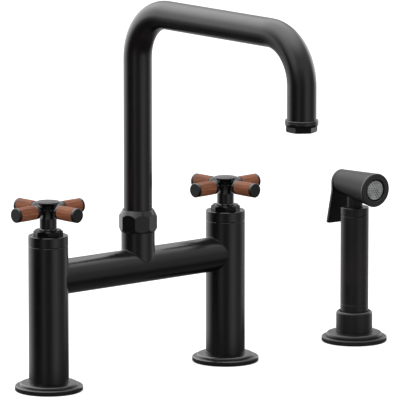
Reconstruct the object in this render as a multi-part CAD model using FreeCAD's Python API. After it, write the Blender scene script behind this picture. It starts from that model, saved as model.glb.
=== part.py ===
import FreeCAD, Part
import math
import os

# Bridge kitchen faucet with two cross handles, a square swivel spout and a side spray.
# Millimetres. The origin lies on the deck, midway between the two columns.
# X runs along the bridge, the spout reaches towards -Y, Z is up.

Vector = FreeCAD.Vector

# ---- Layout ---------------------------------------------------------------------
COLUMN_SPACING = 203.2      # between the two column axes, 8 in
BRIDGE_AXIS_Z = 100.0       # bridge centre line above the deck
SPOUT_AXIS_Z = 330.2        # level run of the spout, 13 in above the deck
SPOUT_REACH = 223.9         # riser axis to outlet axis
OUTLET_Z = 259.5            # lower end of the spout tube
SPRAY_X = 252.4             # side spray hole
SPRAY_Y = -5.4
HANDLE_TURN = 4.5           # cross turned from the bridge line, degrees
SPRAY_TURN = -4.3           # spray head turned from the spout's direction, degrees

# ---- Clearances -----------------------------------------------------------------
RUN_GAP = 0.08              # radial play of a turning or sliding fit
AIR_GAP = 0.3               # between pieces that move past each other
FIT_GAP = 0.05              # radial play of a screwed or slid-in piece
FACE_GAP = 0.05             # end play of a bearing face
EDGE = 0.4                  # small edge break

# ---- Flanges and deck hardware --------------------------------------------------
FLANGE_R = 30.2
FLANGE_RIM_H = 4.7          # outer flat of the flange
FLANGE_STEP_R = 24.2        # edge of the raised middle
FLANGE_SHOULDER = 1.9       # radial width of the rounded step
FLANGE_SLOPE = 0.5          # fall of the raised middle towards its edge
FLANGE_BEVEL = 0.8
COLUMN_FLANGE_H = 7.7
SPRAY_FLANGE_H = 8.9
FLANGE_COUNTERSINK = 2.3    # depth of the recess that takes a column foot
GASKET_T = 2.2
GASKET_OUT_R = 23.0
GASKET_WIDTH = 6.5
DECK_ROOM = 29.0            # thickest counter that the shanks clamp
RUBBER_T = 3.0
STEEL_T = 1.5
NUT_H = 9.0
SHANK_R = 10.9              # deck part of the supply shanks
SHANK_TAIL_R = 10.4         # half-inch supply thread and upper thread
SHANK_BORE_R = 7.5
SHANK_TAIL = 16.0           # free thread below the nut
SHANK_GRIP = 15.0           # thread inside the column foot
THREAD_RELIEF = 1.0
WASHER_OUT_R = 19.0
NUT_CORNER_R = 18.5
SPRAY_SHANK_R = 14.5
SPRAY_SHANK_TOP_R = 14.0
SPRAY_SHANK_BORE_R = 12.0
SPRAY_WASHER_OUT_R = 24.0
SPRAY_NUT_CORNER_R = 22.5

# ---- Columns and valves ---------------------------------------------------------
COLUMN_R = 17.75
COLUMN_TOP_Z = 130.0
COLLAR_H = 9.2              # separate top collar of the column
COLLAR_SPIGOT = 12.0
COLUMN_WALL = 3.25
PASSAGE_R = 9.0             # supply water way
PORT_R = 9.0                # side port into the bridge
SEAT_WEB = 4.0
SEAT_HOLE_R = 6.0
SEAL_T = 2.5
CARTRIDGE_R = 9.0
CARTRIDGE_THREAD_R = 8.0
CARTRIDGE_WALL = 2.5
DISC_LIP = 1.2
DISC_T = 2.5
DISC_HOLE_R = 1.7
DISC_HOLE_AT = 3.5
OUTLET_ROOM = 3.3           # free height beside the spindle foot
WINDOW_R = 1.5
BONNET_CORNER_R = 13.2
BONNET_H = 5.1
BONNET_TOP_R = 10.2
BONNET_LIP = 1.8
SPINDLE_R = 4.2
SPLINE_R = 3.9
SPLINE_LENGTH = 12.0
SPINDLE_FOOT = 1.5
KEY_W = 2.0
KEY_H = 0.8

# ---- Handles --------------------------------------------------------------------
HUB_H = 24.8                # underside of the hub to its top disc
HUB_DISC_R = 10.5
HUB_RIM = 1.0
HUB_WAIST_R = 6.2
HUB_NECK_R = 7.6
HUB_FOOT_R = 8.3
ARM_DROP = 8.0              # arm axis below the top disc
ARM_NECK_R = 3.4
ARM_COLLAR_R = 6.3
ARM_COLLAR_AT = 12.8        # inner side of the collar, from the hub axis
ARM_COLLAR_T = 4.3
ARM_STUD_R = 2.5
SLEEVE_LENGTH = 18.9
SLEEVE_IN_R = 6.3
SLEEVE_OUT_R = 6.4
END_CAP_T = 2.9
END_CAP_R = 6.5
STUD_IN_CAP = 1.2
SCREW_R = 2.5
SCREW_HEAD_R = 4.6
SCREW_HEAD_H = 3.0
SCREW_GRIP = 9.0
HANDLE_CAP_R = 7.0
HANDLE_CAP_T = 1.5

# ---- Bridge and spout -----------------------------------------------------------
BRIDGE_R = 15.6
BRIDGE_WALL = 2.6
WATER_HOLE_R = 7.5
STUB_R = 15.0
STUB_TOP_Z = 131.2          # shoulder that carries the spout nut
STUB_THREAD_H = 5.8
STUB_THREAD_R = 14.3
STUB_BORE_R = 10.0
BEARING_T = 1.5
BUSHING_FLANGE_R = 13.8
BUSHING_FLANGE_T = 2.65
BUSHING_DROP = 20.5         # bearing spigot below the flange
BUSHING_PLUG = 12.0
BUSHING_BORE_R = 7.5
O_RING_T = 2.0
O_RING_DEPTH = 1.4
O_RING_PITCH = 6.0
NUT_SIDES = 8
SPOUT_NUT_CORNER_R = 17.3
SPOUT_NUT_H = 20.0
SPOUT_NUT_TOP_R = 13.9
SPOUT_NUT_TOP_BEVEL = 6.0
SPOUT_NUT_FOOT_R = 15.4
SPOUT_NUT_FOOT_BEVEL = 3.5
SPOUT_NUT_TURN = -2.7       # first corner, degrees from +X
SPOUT_R = 12.7              # one-inch tube
SPOUT_WALL = 1.5
SPOUT_BEND_R = 42.0
OUTLET_COLLAR_R = 14.5
OUTLET_COLLAR_H = 5.6
OUTLET_COLLAR_BEVEL = 1.3   # at its lower end
OUTLET_COLLAR_GROOVE = 0.25
OUTLET_SPIGOT = 6.5
AERATOR_CORNER_R = 13.6
AERATOR_H = 4.9
AERATOR_THREAD_R = 9.75
AERATOR_THREAD_H = 9.6
AERATOR_BORE_R = 8.4
AERATOR_LIP = 0.7
AERATOR_TURN = 26.4
SCREEN_T = 1.2
SCREEN_HOLE_R = 0.8
SCREEN_PITCH = 2.9

# ---- Side spray -----------------------------------------------------------------
HOLDER_R = 16.8
HOLDER_TOP_Z = 28.3
HOLDER_BEVEL = 1.7
HOLDER_WALL = 1.9
HOLDER_FLOOR_Z = 15.0       # top of the spray shank
LINER_LIP_T = 2.0
LINER_SINK = 0.7            # liner rim below the collar top
GRIP_R = 13.0
GRIP_WALL = 1.8
LOWER_RING_TOP_Z = 35.1
UPPER_RING_Z = 118.2
GRIP_TOP_Z = 125.8
RING_SPIGOT = 6.0
CONNECTOR_R = 10.5
CONNECTOR_FLANGE_T = 3.7
CONNECTOR_TAIL_R = 9.0
CONNECTOR_TAIL = 21.0
CONNECTOR_SPIGOT_R = 6.0
CONNECTOR_SPIGOT = 12.7
CONNECTOR_WATER_R = 4.0
HOSE_BORE_R = 6.6           # socket for the hose end
HOSE_BORE_DEPTH = 10.0
NECK_R = 7.3
NECK_WALL = 2.3
HEAD_REAR_Y = 19.0          # rear end of the head behind the grip axis
HEAD_REAR_Z = 146.9
HEAD_REAR_R = 11.2
HEAD_FRONT_R = 15.7
HEAD_LENGTH = 51.2
HEAD_DROOP = 1.7            # degrees
HEAD_CAVITY_R = 6.0
HEAD_REAR_WALL = 12.0
NOZZLE_BORE_R = 13.0
NOZZLE_BORE_DEPTH = 9.5
FACE_RING_T = 2.5
FACE_RING_ROUND = 1.3
FACE_RING_MOUTH_R = 10.3
FACE_R = 8.8
FACE_T = 1.6
FACE_SINK = 0.7             # spray face behind the front of its ring
FACE_MOAT = 3.2             # depth of the gap round the spray face
FACE_ROWS = 3               # rings of holes round the middle one
FACE_WALL = 1.2
FACE_HOLE_R = 0.5
FACE_PITCH = 2.3
PIVOT_Y = 15.5
PIVOT_Z = 152.4
PIN_R = 1.2
PIN_REACH = 9.3             # pin end on the far side of the head
PIN_BLIND = 7.5             # blind end on the near side
TONGUE_W = 5.0
TONGUE_R = 2.6
TRIGGER_HALF_W = 11.1
TRIGGER_T = 2.4
TRIGGER_BEND_Z = 139.0
TRIGGER_FOOT_Z = 107.5
TRIGGER_FLARE = 13.5        # degrees
TRIGGER_SWING = 9.0         # squeeze travel, degrees
TRIGGER_CORNER_R = 2.0
STEM_R = 1.6
STEM_BELOW_PIVOT = 7.8
STEM_HEAD_R = 3.0
STEM_HEAD_T = 2.5


# ---- Levels that follow from the sizes above -------------------------------------
FOOT_Z = COLUMN_FLANGE_H - FLANGE_COUNTERSINK
COLLAR_TOP_Z = COLUMN_TOP_Z + COLLAR_H
SEAT_Z = BRIDGE_AXIS_Z - PORT_R - 1.0
CHAMBER_R = COLUMN_R - COLUMN_WALL
CARTRIDGE_Z = SEAT_Z + SEAL_T
CARTRIDGE_BORE_R = CARTRIDGE_R - CARTRIDGE_WALL
FIXED_DISC_Z = CARTRIDGE_Z + DISC_LIP
MOVING_DISC_Z = FIXED_DISC_Z + DISC_T
SPINDLE_Z = MOVING_DISC_Z + DISC_T
SPINDLE_ROOM_Z = SPINDLE_Z + SPINDLE_FOOT + OUTLET_ROOM
BONNET_TOP_Z = COLLAR_TOP_Z + BONNET_H
CARTRIDGE_TOP_Z = BONNET_TOP_Z - BONNET_LIP
HUB_Z = BONNET_TOP_Z + AIR_GAP
HUB_TOP_Z = HUB_Z + HUB_H
ARM_Z = HUB_TOP_Z - ARM_DROP
SPLINE_Z = HUB_Z + 2.0
SPINDLE_TOP_Z = SPLINE_Z + SPLINE_LENGTH
SCREW_SEAT_Z = HUB_TOP_Z - HANDLE_CAP_T - 0.7 - SCREW_HEAD_H
SLEEVE_AT = ARM_COLLAR_AT + ARM_COLLAR_T
END_CAP_AT = SLEEVE_AT + SLEEVE_LENGTH
STUB_END_Z = STUB_TOP_Z + STUB_THREAD_H
BUSHING_Z = STUB_END_Z + BEARING_T + FACE_GAP
SPOUT_TUBE_Z = BUSHING_Z + BUSHING_FLANGE_T
SPOUT_BORE_R = SPOUT_R - SPOUT_WALL
SPIGOT_R = STUB_BORE_R - RUN_GAP
WASHER_Z = -DECK_ROOM - RUBBER_T
NUT_Z = WASHER_Z - STEEL_T - NUT_H
LINER_OUT_R = HOLDER_R - HOLDER_WALL - FIT_GAP
LINER_IN_R = GRIP_R + AIR_GAP
LINER_LIP_Z = HOLDER_FLOOR_Z + LINER_LIP_T
SPRAY_Z = LINER_LIP_Z + AIR_GAP
CONNECTOR_TOP_Z = SPRAY_Z + CONNECTOR_SPIGOT
HEAD_SHELL = HEAD_LENGTH - FACE_RING_T
TRIGGER_Y = HEAD_REAR_Y + 0.2
STEM_Z = PIVOT_Z - STEM_BELOW_PIVOT


# ---- Shape helpers ----------------------------------------------------------------
def profile(points):
    """Closed face in the XZ plane. A point of four numbers is an arc: way point, then end."""
    edges = []
    here = Vector(points[0][-2], 0, points[0][-1])
    for point in list(points[1:]) + [points[0][-2:]]:
        end = Vector(point[-2], 0, point[-1])
        if len(point) == 4:
            edges.append(Part.Arc(here, Vector(point[0], 0, point[1]), end).toShape())
        elif (end - here).Length > 1e-6:
            edges.append(Part.LineSegment(here, end).toShape())
        here = end
    return Part.Face(Part.Wire(edges))


def turned(points):
    """Solid of revolution about Z of a profile of (radius, height) points."""
    return profile(points).revolve(Vector(0, 0, 0), Vector(0, 0, 1), 360)


def ring(inner, outer, low, high):
    return turned([(inner, low), (outer, low), (outer, high), (inner, high)])


def rod(radius, low, high):
    return Part.makeCylinder(radius, high - low, Vector(0, 0, low))


def cylinder_along(radius, start, end):
    way = end - start
    return Part.makeCylinder(radius, way.Length, start, way)


def moved(shape, x=0.0, y=0.0, z=0.0):
    copy = shape.copy()
    copy.translate(Vector(x, y, z))
    return copy


def spun(shape, degrees, axis=Vector(0, 0, 1)):
    copy = shape.copy()
    copy.rotate(Vector(0, 0, 0), axis, degrees)
    return copy


def both_columns(shape):
    half = COLUMN_SPACING / 2
    return Part.makeCompound([moved(shape, -half), moved(shape, half)])


def prism(sides, corner_r, turn, low, high):
    """Upright bar of a regular polygon."""
    corners = []
    for i in range(sides + 1):
        a = math.radians(turn + 360.0 * i / sides)
        corners.append(Vector(corner_r * math.cos(a), corner_r * math.sin(a), low))
    return Part.Face(Part.makePolygon(corners)).extrude(Vector(0, 0, high - low))


def nut_blank(sides, corner_r, turn, low, high, foot_r, foot_bevel, top_r, top_bevel):
    """Polygon bar whose corners are turned off by a cone at each end, leaving scallops."""
    bar = prism(sides, corner_r, turn, low, high)
    reach = 1.1
    far = top_r + (corner_r - top_r) * reach
    foot_far = foot_r + (corner_r - foot_r) * reach
    wide = max(far, foot_far)
    foot_z = low + foot_bevel * (wide - foot_r) / (corner_r - foot_r)
    top_z = high - top_bevel * (wide - top_r) / (corner_r - top_r)
    cone = turned([(0, low), (foot_r, low), (wide, foot_z), (wide, top_z), (top_r, high), (0, high)])
    return bar.common(cone)


def hole_pattern(hole_r, pitch, low, high, rows=2):
    """One hole, then rings of six, twelve and so on."""
    holes = [rod(hole_r, low, high)]
    for row in range(1, rows + 1):
        for i in range(6 * row):
            a = math.radians(60.0 * i / row)
            holes.append(moved(holes[0], pitch * row * math.cos(a), pitch * row * math.sin(a)))
    return Part.makeCompound(holes)


# ---- Flanges and deck hardware ------------------------------------------------------
def base_flange(foot_r, hole_r, height):
    """Stepped round flange: low rim, rounded shoulder, raised middle with a foot recess."""
    step_z = height - FLANGE_SLOPE
    shoulder_mid_r = FLANGE_STEP_R + 0.72 * FLANGE_SHOULDER
    shoulder_mid_z = FLANGE_RIM_H + 0.72 * (step_z - FLANGE_RIM_H)
    seat_z = height - FLANGE_COUNTERSINK
    return turned([
        (hole_r, GASKET_T),
        (hole_r, seat_z),
        (foot_r + AIR_GAP, seat_z),
        (foot_r + AIR_GAP, height),
        (FLANGE_STEP_R, step_z),
        (shoulder_mid_r, shoulder_mid_z, FLANGE_STEP_R + FLANGE_SHOULDER, FLANGE_RIM_H + 0.2),
        (FLANGE_R - FLANGE_BEVEL, FLANGE_RIM_H),
        (FLANGE_R, FLANGE_RIM_H - FLANGE_BEVEL),
        (FLANGE_R, FLANGE_BEVEL),
        (FLANGE_R - FLANGE_BEVEL, 0),
        (GASKET_OUT_R + FIT_GAP, 0),
        (GASKET_OUT_R + FIT_GAP, GASKET_T),
    ])


def deck_gasket():
    return ring(GASKET_OUT_R - GASKET_WIDTH, GASKET_OUT_R, 0, GASKET_T)


def supply_shank():
    """Hollow shank: upper thread in the column foot, plain deck part, nut thread, supply tail."""
    top = FOOT_Z + SHANK_GRIP
    tail = NUT_Z - SHANK_TAIL
    relief_z = -DECK_ROOM + THREAD_RELIEF
    return turned([
        (SHANK_BORE_R, tail),
        (SHANK_TAIL_R - EDGE, tail),
        (SHANK_TAIL_R, tail + EDGE),
        (SHANK_TAIL_R, NUT_Z),
        (SHANK_R, NUT_Z),
        (SHANK_R, -DECK_ROOM),
        (SHANK_TAIL_R, -DECK_ROOM),
        (SHANK_TAIL_R, relief_z),
        (SHANK_R, relief_z),
        (SHANK_R, 0),
        (SHANK_TAIL_R, 0),
        (SHANK_TAIL_R, top - EDGE),
        (SHANK_TAIL_R - EDGE, top),
        (SHANK_BORE_R, top),
    ])


def mounting_nut(bore_r, corner_r):
    low_r = corner_r * 0.93
    nut = nut_blank(6, corner_r, 30, NUT_Z, NUT_Z + NUT_H, low_r, 1.2, low_r, 1.2)
    return nut.cut(rod(bore_r, NUT_Z - 1, NUT_Z + NUT_H + 1))


def rubber_washer(bore_r, outer_r):
    return ring(bore_r, outer_r, WASHER_Z, -DECK_ROOM)


def steel_washer(bore_r, outer_r):
    return ring(bore_r, outer_r, WASHER_Z - STEEL_T, WASHER_Z)


def spray_shank():
    """Wide hollow shank that the spray hose runs through."""
    end = NUT_Z - THREAD_RELIEF * 4
    return turned([
        (SPRAY_SHANK_BORE_R, end),
        (SPRAY_SHANK_R - EDGE, end),
        (SPRAY_SHANK_R, end + EDGE),
        (SPRAY_SHANK_R, 0),
        (SPRAY_SHANK_TOP_R, 0),
        (SPRAY_SHANK_TOP_R, HOLDER_FLOOR_Z),
        (SPRAY_SHANK_BORE_R, HOLDER_FLOOR_Z),
    ])


# ---- Columns and valves -----------------------------------------------------------------
def column(port_side):
    """Hollow column: foot thread, supply passage, valve seat, valve chamber and side port."""
    grip_top = FOOT_Z + SHANK_GRIP
    body = turned([
        (SHANK_TAIL_R + FIT_GAP, FOOT_Z),
        (SHANK_TAIL_R + FIT_GAP, grip_top),
        (PASSAGE_R, grip_top),
        (PASSAGE_R, SEAT_Z - SEAT_WEB),
        (SEAT_HOLE_R, SEAT_Z - SEAT_WEB),
        (SEAT_HOLE_R, SEAT_Z),
        (CHAMBER_R, SEAT_Z),
        (CHAMBER_R, COLUMN_TOP_Z),
        (COLUMN_R - EDGE, COLUMN_TOP_Z),
        (COLUMN_R, COLUMN_TOP_Z - EDGE),
        (COLUMN_R, FOOT_Z + EDGE),
        (COLUMN_R - EDGE, FOOT_Z),
    ])
    start = Vector(0, 0, BRIDGE_AXIS_Z)
    port = cylinder_along(PORT_R, start, start + Vector(port_side * (COLUMN_R + 1), 0, 0))
    return moved(body.cut(port), -port_side * COLUMN_SPACING / 2)


def column_collar():
    """Top collar with the spigot that screws into the column and holds the cartridge."""
    return turned([
        (CARTRIDGE_R + FIT_GAP, COLUMN_TOP_Z - COLLAR_SPIGOT),
        (CHAMBER_R - FIT_GAP, COLUMN_TOP_Z - COLLAR_SPIGOT),
        (CHAMBER_R - FIT_GAP, COLUMN_TOP_Z),
        (COLUMN_R - EDGE, COLUMN_TOP_Z),
        (COLUMN_R, COLUMN_TOP_Z + EDGE),
        (COLUMN_R, COLLAR_TOP_Z - EDGE),
        (COLUMN_R - EDGE, COLLAR_TOP_Z),
        (CARTRIDGE_R + FIT_GAP, COLLAR_TOP_Z),
    ])


def cartridge_seal():
    return ring(SEAT_HOLE_R, CARTRIDGE_R, SEAT_Z, CARTRIDGE_Z)


def cartridge_body():
    """Quarter-turn cartridge: disc pocket below, outlet windows, spindle bore, bonnet thread."""
    body = turned([
        (CARTRIDGE_BORE_R - 1.0, CARTRIDGE_Z),
        (CARTRIDGE_R, CARTRIDGE_Z),
        (CARTRIDGE_R, COLLAR_TOP_Z),
        (CARTRIDGE_THREAD_R, COLLAR_TOP_Z),
        (CARTRIDGE_THREAD_R, CARTRIDGE_TOP_Z),
        (SPINDLE_R + RUN_GAP, CARTRIDGE_TOP_Z),
        (SPINDLE_R + RUN_GAP, SPINDLE_ROOM_Z),
        (CARTRIDGE_BORE_R, SPINDLE_ROOM_Z),
        (CARTRIDGE_BORE_R, FIXED_DISC_Z),
        (CARTRIDGE_BORE_R - 1.0, FIXED_DISC_Z),
    ])
    mid = SPINDLE_ROOM_Z - OUTLET_ROOM / 2
    for side in (Vector(1, 0, 0), Vector(0, 1, 0)):
        start = Vector(0, 0, mid) - side * (CARTRIDGE_R + 1)
        window = cylinder_along(WINDOW_R, start, start + side * (2 * CARTRIDGE_R + 2))
        body = body.cut(window)
    return body


def valve_disc(low, turn):
    """Ceramic disc with two water holes."""
    disc = rod(CARTRIDGE_BORE_R - RUN_GAP, low, low + DISC_T)
    for side in (-1, 1):
        a = math.radians(turn)
        x = side * DISC_HOLE_AT * math.cos(a)
        y = side * DISC_HOLE_AT * math.sin(a)
        disc = disc.cut(moved(rod(DISC_HOLE_R, low - 1, low + DISC_T + 1), x, y))
    return disc


def drive_key(width, height):
    length = 2 * CARTRIDGE_BORE_R * 0.7
    return Part.makeBox(length, width, height, Vector(-length / 2, -width / 2, SPINDLE_Z - height))


def moving_disc():
    """Turning disc with the slot that the spindle drives."""
    return valve_disc(MOVING_DISC_Z, 90).cut(drive_key(KEY_W + 2 * FIT_GAP, KEY_H + FIT_GAP))


def spindle():
    """Valve spindle: foot with drive key, round stem, spline end with a screw thread."""
    body = turned([
        (0, SPINDLE_Z),
        (CARTRIDGE_BORE_R - RUN_GAP, SPINDLE_Z),
        (CARTRIDGE_BORE_R - RUN_GAP, SPINDLE_Z + SPINDLE_FOOT),
        (SPINDLE_R, SPINDLE_Z + SPINDLE_FOOT),
        (SPINDLE_R, SPLINE_Z),
        (SPLINE_R, SPLINE_Z),
        (SPLINE_R, SPINDLE_TOP_Z),
        (0, SPINDLE_TOP_Z),
    ])
    body = body.fuse(drive_key(KEY_W, KEY_H))
    return body.cut(rod(SCREW_R + FIT_GAP, SPINDLE_TOP_Z - SCREW_GRIP - 1, SPINDLE_TOP_Z + 1))


def bonnet_nut():
    """Low octagon nut over the cartridge."""
    nut = nut_blank(8, BONNET_CORNER_R, 6, COLLAR_TOP_Z, BONNET_TOP_Z,
                    BONNET_CORNER_R - 0.5, 0.5, BONNET_TOP_R, 2.2)
    nut = nut.cut(rod(CARTRIDGE_THREAD_R + FIT_GAP, COLLAR_TOP_Z - 1, CARTRIDGE_TOP_Z))
    return nut.cut(rod(SPINDLE_R + AIR_GAP, COLLAR_TOP_Z, BONNET_TOP_Z + 1))


# ---- Handles -------------------------------------------------------------------------------
def laid_arm(points):
    """Turned piece along an arm; each point is (radius, distance from the hub axis)."""
    return moved(spun(turned(points), 90, Vector(0, 1, 0)), 0, 0, ARM_Z)


def four_arms(piece):
    return [spun(piece, HANDLE_TURN + 90 * i) for i in range(4)]


def handle_hub():
    """Spool hub with four trumpet necks, collars and the studs that carry the sleeves."""
    neck_z = HUB_Z + 0.4 * HUB_H
    flare_z = HUB_TOP_Z - HUB_RIM
    hub = turned([
        (0, HUB_Z),
        (HUB_FOOT_R, HUB_Z),
        (HUB_NECK_R + 0.15, HUB_Z + 0.5, HUB_NECK_R, HUB_Z + 1.8),
        (HUB_NECK_R, neck_z),
        (HUB_WAIST_R + 0.25, (neck_z + ARM_Z) / 2 + 0.6, HUB_WAIST_R, ARM_Z),
        (HUB_WAIST_R + 0.28 * (HUB_DISC_R - HUB_WAIST_R), ARM_Z + 0.62 * (flare_z - ARM_Z),
         HUB_DISC_R, flare_z),
        (HUB_DISC_R, HUB_TOP_Z - 0.3),
        (HUB_DISC_R - 0.3, HUB_TOP_Z),
        (0, HUB_TOP_Z),
    ])
    arm = laid_arm([
        (0, HUB_WAIST_R - 2),
        (ARM_NECK_R, HUB_WAIST_R - 2),
        (ARM_NECK_R, HUB_WAIST_R),
        (ARM_NECK_R + 0.6, (HUB_WAIST_R + ARM_COLLAR_AT) / 2 + 0.7, ARM_COLLAR_R - 0.7, ARM_COLLAR_AT),
        (ARM_COLLAR_R, ARM_COLLAR_AT + 0.5 * ARM_COLLAR_T, ARM_COLLAR_R - 0.3, SLEEVE_AT - 0.2),
        (ARM_COLLAR_R - 0.5, SLEEVE_AT),
        (ARM_STUD_R, SLEEVE_AT),
        (ARM_STUD_R, END_CAP_AT + STUD_IN_CAP),
        (0, END_CAP_AT + STUD_IN_CAP),
    ])
    hub = hub.fuse(four_arms(arm))
    hub = hub.cut(rod(SPINDLE_R + AIR_GAP, HUB_Z - 1, SPLINE_Z))
    hub = hub.cut(rod(SPLINE_R + FIT_GAP, HUB_Z, SPINDLE_TOP_Z))
    hub = hub.cut(rod(SCREW_R + FIT_GAP, SPINDLE_TOP_Z - 1, HUB_TOP_Z))
    hub = hub.cut(rod(SCREW_HEAD_R + AIR_GAP, SCREW_SEAT_Z, HUB_TOP_Z))
    return hub.cut(rod(HANDLE_CAP_R + FIT_GAP, HUB_TOP_Z - HANDLE_CAP_T, HUB_TOP_Z + 1))


def handle_sleeves():
    """Four wooden sleeves, slightly fuller towards the outer end."""
    middle_r = (SLEEVE_IN_R + SLEEVE_OUT_R) / 2 + 0.1
    sleeve = laid_arm([
        (ARM_STUD_R + FIT_GAP, SLEEVE_AT),
        (SLEEVE_IN_R, SLEEVE_AT),
        (middle_r, SLEEVE_AT + SLEEVE_LENGTH / 2, SLEEVE_OUT_R, END_CAP_AT),
        (ARM_STUD_R + FIT_GAP, END_CAP_AT),
    ])
    return Part.makeCompound(four_arms(sleeve))


def handle_end_caps():
    """Four end caps screwed on the studs."""
    outer = END_CAP_AT + END_CAP_T
    cap = laid_arm([
        (0, END_CAP_AT + STUD_IN_CAP),
        (ARM_STUD_R + FIT_GAP, END_CAP_AT + STUD_IN_CAP),
        (ARM_STUD_R + FIT_GAP, END_CAP_AT),
        (END_CAP_R - 0.3, END_CAP_AT),
        (END_CAP_R, END_CAP_AT + 0.3),
        (END_CAP_R, outer - 0.9),
        (END_CAP_R - 0.25, outer - 0.25, END_CAP_R - 0.9, outer),
        (0, outer),
    ])
    return Part.makeCompound(four_arms(cap))


def handle_screw():
    """Socket screw that holds the hub on the spindle."""
    top = SCREW_SEAT_Z + SCREW_HEAD_H
    screw = turned([
        (0, SPINDLE_TOP_Z - SCREW_GRIP),
        (SCREW_R, SPINDLE_TOP_Z - SCREW_GRIP),
        (SCREW_R, SCREW_SEAT_Z),
        (SCREW_HEAD_R, SCREW_SEAT_Z),
        (SCREW_HEAD_R, top - 0.5),
        (SCREW_HEAD_R - 0.5, top),
        (0, top),
    ])
    return screw.cut(prism(6, 2.3, 0, top - 1.8, top + 1))


def handle_cap():
    """Flat cap over the screw, a little proud with a broken edge."""
    low = HUB_TOP_Z - HANDLE_CAP_T
    return turned([
        (0, low),
        (HANDLE_CAP_R, low),
        (HANDLE_CAP_R, HUB_TOP_Z),
        (HANDLE_CAP_R - 0.25, HUB_TOP_Z + 0.2),
        (0, HUB_TOP_Z + 0.2),
    ])


# ---- Bridge and spout ------------------------------------------------------------------------
def bridge_bar(radius):
    half = COLUMN_SPACING / 2
    return cylinder_along(radius, Vector(-half, 0, BRIDGE_AXIS_Z), Vector(half, 0, BRIDGE_AXIS_Z))


def bridge_tube():
    """Tube between the columns, its ends coped to their round walls."""
    tube = bridge_bar(BRIDGE_R).cut(bridge_bar(BRIDGE_R - BRIDGE_WALL))
    wall = rod(COLUMN_R, BRIDGE_AXIS_Z - 2 * BRIDGE_R, BRIDGE_AXIS_Z + 2 * BRIDGE_R)
    tube = tube.cut(both_columns(wall))
    return tube.cut(rod(WATER_HOLE_R, BRIDGE_AXIS_Z, BRIDGE_AXIS_Z + 2 * BRIDGE_R))


def spout_stub():
    """Upright stub coped to the top of the bridge, threaded for the spout nut."""
    stub = turned([
        (STUB_BORE_R, BRIDGE_AXIS_Z),
        (STUB_R, BRIDGE_AXIS_Z),
        (STUB_R, STUB_TOP_Z),
        (STUB_THREAD_R, STUB_TOP_Z),
        (STUB_THREAD_R, STUB_END_Z),
        (STUB_BORE_R, STUB_END_Z),
    ])
    return stub.cut(bridge_bar(BRIDGE_R))


def spout_nut():
    """Tall octagon nut with deep scallops on its upper corners."""
    top = STUB_TOP_Z + SPOUT_NUT_H
    nut = nut_blank(NUT_SIDES, SPOUT_NUT_CORNER_R, SPOUT_NUT_TURN, STUB_TOP_Z, top,
                    SPOUT_NUT_FOOT_R, SPOUT_NUT_FOOT_BEVEL, SPOUT_NUT_TOP_R, SPOUT_NUT_TOP_BEVEL)
    nut = nut.cut(rod(STUB_THREAD_R + FIT_GAP, STUB_TOP_Z - 1, SPOUT_TUBE_Z + AIR_GAP))
    return nut.cut(rod(SPOUT_R + AIR_GAP, STUB_TOP_Z, top + 1))


def spout_bearing():
    return ring(STUB_BORE_R + AIR_GAP, STUB_THREAD_R - FIT_GAP, STUB_END_Z, STUB_END_Z + BEARING_T)


def o_ring_levels():
    low = BUSHING_Z - BUSHING_DROP + O_RING_T
    return [low, low + O_RING_PITCH]


def spout_bushing():
    """Bearing bushing: plug in the tube, flange under the nut, spigot with seal grooves."""
    low = BUSHING_Z - BUSHING_DROP
    body = turned([
        (BUSHING_BORE_R, low),
        (SPIGOT_R - EDGE, low),
        (SPIGOT_R, low + EDGE),
        (SPIGOT_R, BUSHING_Z),
        (BUSHING_FLANGE_R, BUSHING_Z),
        (BUSHING_FLANGE_R, SPOUT_TUBE_Z),
        (SPOUT_BORE_R - FIT_GAP, SPOUT_TUBE_Z),
        (SPOUT_BORE_R - FIT_GAP, SPOUT_TUBE_Z + BUSHING_PLUG),
        (BUSHING_BORE_R, SPOUT_TUBE_Z + BUSHING_PLUG),
    ])
    for z in o_ring_levels():
        body = body.cut(ring(SPIGOT_R - O_RING_DEPTH, SPIGOT_R + 1, z, z + O_RING_T))
    return body


def spout_o_rings():
    rings = []
    for z in o_ring_levels():
        mid = z + O_RING_T / 2
        r = SPIGOT_R - O_RING_DEPTH / 2
        half = O_RING_DEPTH / 2
        rings.append(turned([(r - half, mid), (r, mid - half, r + half, mid), (r, mid + half, r - half, mid)]))
    return Part.makeCompound(rings)


def spout_bar(radius):
    """Solid bar along the spout: riser, quarter bend, level run, quarter bend, outlet leg."""
    bend_z = SPOUT_AXIS_Z - SPOUT_BEND_R
    up = Vector(0, 0, 1)
    ahead = Vector(0, -1, 0)

    def section(y, z, way):
        return Part.Face(Part.Wire(Part.makeCircle(radius, Vector(0, y, z), way)))

    def bend(start, centre_y):
        return start.revolve(Vector(0, centre_y, bend_z), Vector(1, 0, 0), 90)

    far_y = SPOUT_BEND_R - SPOUT_REACH
    riser = section(0, SPOUT_TUBE_Z, up).extrude(up * (bend_z - SPOUT_TUBE_Z))
    near_bend = bend(section(0, bend_z, up), -SPOUT_BEND_R)
    level = section(-SPOUT_BEND_R, SPOUT_AXIS_Z, ahead).extrude(ahead * (-far_y - SPOUT_BEND_R))
    far_bend = bend(section(far_y, SPOUT_AXIS_Z, ahead), far_y)
    leg = section(-SPOUT_REACH, OUTLET_Z, up).extrude(up * (bend_z - OUTLET_Z))
    return riser.fuse([near_bend, level, far_bend, leg]).removeSplitter()


def spout_tube():
    """One bent tube from the bearing bushing to the outlet."""
    return spout_bar(SPOUT_R).cut(spout_bar(SPOUT_R - SPOUT_WALL))


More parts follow.
